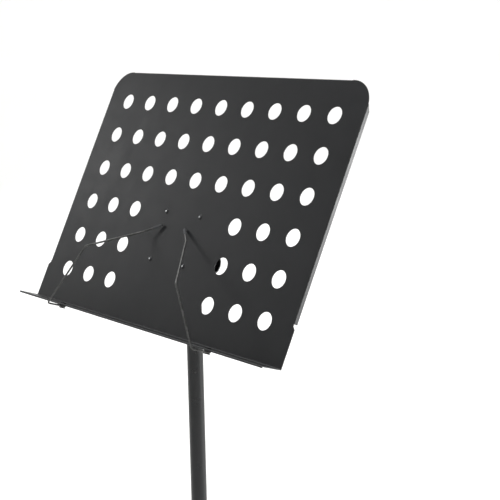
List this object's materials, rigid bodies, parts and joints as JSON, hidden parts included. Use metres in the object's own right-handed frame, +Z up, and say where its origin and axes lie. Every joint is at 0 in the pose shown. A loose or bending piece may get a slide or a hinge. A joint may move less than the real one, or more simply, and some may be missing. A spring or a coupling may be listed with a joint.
{
  "type": "music stand",
  "caption": "Orchestra music stand with a perforated tilting desk, wire page arms, a clamped telescopic mast and a folding tripod.",
  "frame": {"origin": "on the floor, at the middle of the stand's box; the mast stands ahead of it", "axes": "+Z up, the desk's front faces -Y, +X to the right seen from the front"},
  "size_m": [0.5298, 0.46, 1.1545],
  "materials": {
    "powder_coat": "fine satin black powder coat",
    "tube_enamel": "smooth satin black enamel",
    "leg_enamel": "satin black enamel",
    "black_wire": "black oxide spring wire",
    "moulded_nylon": "moulded glass-filled nylon",
    "knob_plastic": "moulded ABS",
    "brass": "turned brass",
    "zinc_steel": "zinc-plated steel",
    "black_nut": "black oxide steel",
    "friction_fibre": "pressed fibre",
    "rubber": "moulded rubber"
  },
  "bodies": {
    "root": {"base_tube": "tube_enamel", "lower_collar": "moulded_nylon", "lower_bush": "moulded_nylon", "lower_pad": "brass", "bottom_hub": "moulded_nylon", "hub_pins": "zinc_steel", "hub_cap": "moulded_nylon"},
    "mast": {"mast_tube": "tube_enamel", "upper_collar": "moulded_nylon", "upper_pad": "brass", "mast_guide": "moulded_nylon"},
    "stem": {"stem_tube": "tube_enamel", "stem_guide": "moulded_nylon"},
    "head": {"tee_head": "moulded_nylon", "friction_discs": "friction_fibre", "head_set_screw": "zinc_steel"},
    "tilt_bracket": {"tilt_bracket": "powder_coat", "bracket_nut": "black_nut", "tilt_bolt": "zinc_steel", "tilt_washer": "zinc_steel"},
    "desk": {"desk_panel": "powder_coat", "panel_rivets": "powder_coat", "back_bracket": "powder_coat", "arm_studs": "black_nut"},
    "arm_left": {"page_arm_left": "black_wire", "arm_tip_left": "rubber"},
    "arm_right": {"page_arm_right": "black_wire", "arm_tip_right": "rubber"},
    "tilt_knob": {"tilt_knob": "knob_plastic", "knob_insert": "brass"},
    "thumb_screw": {"thumb_screw": "brass", "thumb_knob": "knob_plastic"},
    "upper_clamp": {"upper_clamp_screw": "zinc_steel", "upper_clamp_knob": "knob_plastic"},
    "lower_clamp": {"lower_clamp_screw": "zinc_steel", "lower_clamp_knob": "knob_plastic"},
    "spider": {"spider": "moulded_nylon", "spider_pins": "zinc_steel"},
    "spider_clamp": {"spider_clamp_screw": "zinc_steel", "spider_clamp_knob": "knob_plastic"},
    "brace_1": {"brace_1": "leg_enamel"},
    "leg_1": {"leg_1": "leg_enamel", "foot_1": "rubber", "leg_rivet_1": "zinc_steel"},
    "brace_2": {"brace_2": "leg_enamel"},
    "leg_2": {"leg_2": "leg_enamel", "foot_2": "rubber", "leg_rivet_2": "zinc_steel"},
    "brace_3": {"brace_3": "leg_enamel"},
    "leg_3": {"leg_3": "leg_enamel", "foot_3": "rubber", "leg_rivet_3": "zinc_steel"}
  },
  "joints": [
    {"name": "mast_slide", "type": "slide", "parent": "root", "child": "mast", "axis": [0, 0, 1], "range_m": [-0.23, 0.08]},
    {"name": "stem_slide", "type": "slide", "parent": "mast", "child": "stem", "axis": [0, 0, 1], "range_m": [0, 0.26]},
    {"name": "head_swivel", "type": "hinge", "parent": "stem", "child": "head", "pos_m": [0, -0.07246, 0.925], "axis": [0, 0, 1], "continuous": true},
    {"name": "desk_tilt", "type": "hinge", "parent": "head", "child": "tilt_bracket", "pos_m": [0, -0.07246, 0.925], "axis": [-1, 0, 0], "range_deg": [-22, 60]},
    {"name": "desk_lift", "type": "slide", "parent": "tilt_bracket", "child": "desk", "axis": [0, 0.4571, 0.8894], "range_m": [0, 0.023]},
    {"name": "arm_right_swing", "type": "hinge", "parent": "desk", "child": "arm_right", "pos_m": [0.15, -0.17488, 0.85881], "axis": [0, 0.3453, 0.9385], "range_deg": [0, 65]},
    {"name": "arm_left_swing", "type": "hinge", "parent": "desk", "child": "arm_left", "pos_m": [-0.15, -0.17488, 0.85881], "axis": [0, -0.3453, -0.9385], "range_deg": [0, 65]},
    {"name": "tilt_knob_turn", "type": "hinge", "parent": "tilt_bracket", "child": "tilt_knob", "pos_m": [0.03, -0.07246, 0.925], "axis": [1, 0, 0], "range_deg": [0, 720]},
    {"name": "thumb_screw_turn", "type": "hinge", "parent": "tilt_bracket", "child": "thumb_screw", "pos_m": [0, -0.07216, 0.95183], "axis": [0, 0.8894, -0.4571], "range_deg": [0, 1080]},
    {"name": "upper_clamp_turn", "type": "hinge", "parent": "mast", "child": "upper_clamp", "pos_m": [0.02503, -0.06235, 0.89145], "axis": [0.9272, 0.3746, 0], "range_deg": [0, 720]},
    {"name": "lower_clamp_turn", "type": "hinge", "parent": "root", "child": "lower_clamp", "pos_m": [0.03031, -0.05496, 0.413], "axis": [0.866, 0.5, 0], "range_deg": [0, 720]},
    {"name": "brace_1_fold", "type": "hinge", "parent": "root", "child": "brace_1", "pos_m": [0, -0.04646, 0.032], "axis": [1, 0, 0], "range_deg": [0, 55]},
    {"name": "leg_1_fold", "type": "hinge", "parent": "brace_1", "child": "leg_1", "pos_m": [0, 0.07045, 0.0995], "axis": [1, 0, 0], "range_deg": [-110, 0]},
    {"name": "brace_2_fold", "type": "hinge", "parent": "root", "child": "brace_2", "pos_m": [-0.02252, -0.08546, 0.032], "axis": [-0.5, 0.866, 0], "range_deg": [0, 55]},
    {"name": "leg_2_fold", "type": "hinge", "parent": "brace_2", "child": "leg_2", "pos_m": [-0.12377, -0.14392, 0.0995], "axis": [-0.5, 0.866, 0], "range_deg": [-110, 0]},
    {"name": "brace_3_fold", "type": "hinge", "parent": "root", "child": "brace_3", "pos_m": [0.02252, -0.08546, 0.032], "axis": [-0.5, -0.866, 0], "range_deg": [0, 55]},
    {"name": "leg_3_fold", "type": "hinge", "parent": "brace_3", "child": "leg_3", "pos_m": [0.12377, -0.14392, 0.0995], "axis": [-0.5, -0.866, 0], "range_deg": [-110, 0]},
    {"name": "spider_hinge", "type": "hinge", "parent": "leg_1", "child": "spider", "pos_m": [0, -0.04646, 0.167], "axis": [1, 0, 0], "range_deg": [0, 55]},
    {"name": "spider_clamp_turn", "type": "hinge", "parent": "spider", "child": "spider_clamp", "pos_m": [0.03031, -0.05496, 0.167], "axis": [0.866, 0.5, 0], "range_deg": [0, 720]}
  ],
  "couplings": [
    {"joint": "leg_1_fold", "follows": "brace_1_fold", "ratio": -2},
    {"joint": "spider_hinge", "follows": "brace_1_fold", "ratio": 1},
    {"joint": "brace_2_fold", "follows": "brace_1_fold", "ratio": 1},
    {"joint": "leg_2_fold", "follows": "brace_1_fold", "ratio": -2},
    {"joint": "brace_3_fold", "follows": "brace_1_fold", "ratio": 1},
    {"joint": "leg_3_fold", "follows": "brace_1_fold", "ratio": -2}
  ]
}
